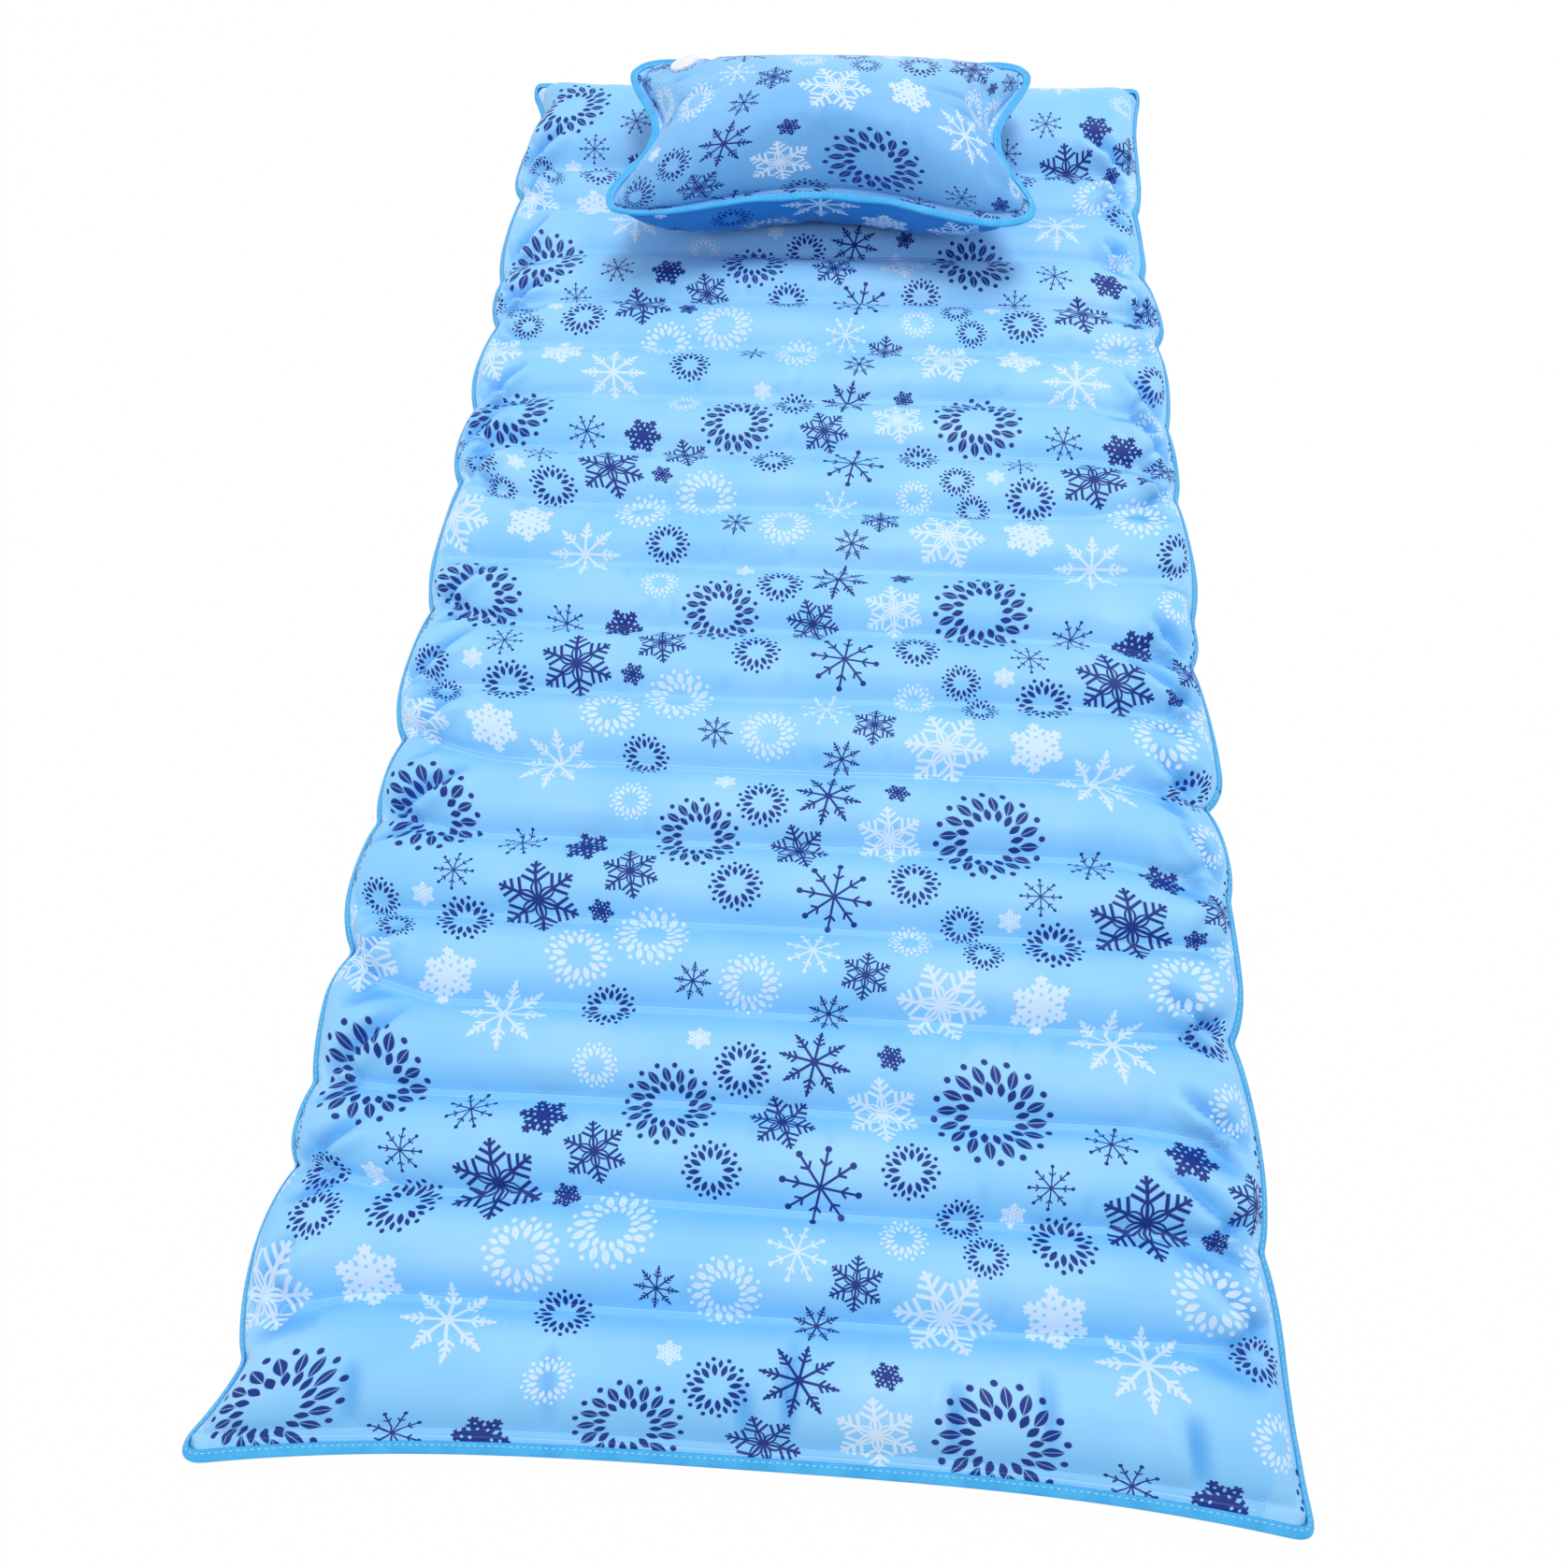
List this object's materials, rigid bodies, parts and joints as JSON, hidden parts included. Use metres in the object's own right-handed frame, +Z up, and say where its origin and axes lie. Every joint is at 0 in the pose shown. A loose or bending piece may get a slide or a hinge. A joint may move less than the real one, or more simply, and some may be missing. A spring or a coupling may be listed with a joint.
{
  "type": "water cooling mattress pad",
  "caption": "Water-filled cooling mattress pad with cross channels and a bound edge, with a matching water-filled pillow lying on its head end.",
  "frame": {"origin": "middle of the pad's outline, on the surface that the pad lies on", "axes": "+Z up, +Y along the pad towards its head end and pillow, +X across it to the right as seen from the foot end"},
  "size_m": [0.7, 1.4172, 0.1564],
  "materials": {
    "printed_fabric": "light sky-blue coated satin cloth with a navy and white winter print",
    "edge_tape": "bright blue ribbed binding tape with a line of stitches",
    "water": "clear water, sealed in the chambers",
    "port_plastic": "white moulded plastic",
    "washer_rubber": "soft white rubber",
    "cap_plastic": "white moulded plastic, slightly glossy"
  },
  "bodies": {
    "foot_section": {"top_sheet_foot": "printed_fabric", "bottom_sheet_foot": "printed_fabric", "binding_foot": "edge_tape", "water_foot": "water"},
    "leg_section": {"top_sheet_leg": "printed_fabric", "bottom_sheet_leg": "printed_fabric", "binding_leg_left": "edge_tape", "binding_leg_right": "edge_tape", "water_leg": "water"},
    "back_section": {"top_sheet_back": "printed_fabric", "bottom_sheet_back": "printed_fabric", "binding_back_left": "edge_tape", "binding_back_right": "edge_tape", "water_back": "water"},
    "head_section": {"top_sheet_head": "printed_fabric", "bottom_sheet_head": "printed_fabric", "binding_head": "edge_tape", "water_head": "water", "pad_valve_port": "port_plastic"},
    "pad_washer": {"pad_valve_washer": "washer_rubber"},
    "pad_cap": {"pad_valve_cap": "cap_plastic"},
    "pillow": {"pillow_top_panel": "printed_fabric", "pillow_bottom_panel": "printed_fabric", "pillow_binding": "edge_tape", "pillow_water": "water", "pillow_valve_port": "port_plastic"},
    "pillow_washer": {"pillow_valve_washer": "washer_rubber"},
    "pillow_cap": {"pillow_valve_cap": "cap_plastic"}
  },
  "joints": [
    {"name": "leg_fold", "type": "hinge", "parent": "foot_section", "child": "leg_section", "pos_m": [0, -0.3366, 0.01365], "axis": [1, 0, 0], "range_deg": [0, 60]},
    {"name": "back_fold", "type": "hinge", "parent": "leg_section", "child": "back_section", "pos_m": [0, 0.0074, 0.01365], "axis": [1, 0, 0], "range_deg": [0, 60]},
    {"name": "head_fold", "type": "hinge", "parent": "back_section", "child": "head_section", "pos_m": [0, 0.2826, 0.01365], "axis": [1, 0, 0], "range_deg": [0, 60]},
    {"name": "pad_cap_rise", "type": "slide", "parent": "head_section", "child": "pad_washer", "axis": [0, 0, 1], "range_m": [0, 0.005]},
    {"name": "pad_cap_turn", "type": "hinge", "parent": "pad_washer", "child": "pad_cap", "pos_m": [-0.1, 0.62373, 0.03975], "axis": [0, 0, 1], "range_deg": [0, 720]},
    {"name": "pillow_lift", "type": "slide", "parent": "head_section", "child": "pillow", "axis": [0, 0, 1], "range_m": [0, 0.15]},
    {"name": "pillow_cap_rise", "type": "slide", "parent": "pillow", "child": "pillow_washer", "axis": [-0.2967, 0.1824, 0.9374], "range_m": [0, 0.005]},
    {"name": "pillow_cap_turn", "type": "hinge", "parent": "pillow_washer", "child": "pillow_cap", "pos_m": [-0.15211, 0.57196, 0.11836], "axis": [-0.2967, 0.1824, 0.9374], "range_deg": [0, 720]}
  ],
  "couplings": [
    {"joint": "pad_cap_turn", "follows": "pad_cap_rise", "rad_per_m": 2513.2},
    {"joint": "pillow_cap_turn", "follows": "pillow_cap_rise", "rad_per_m": 2513.2}
  ]
}
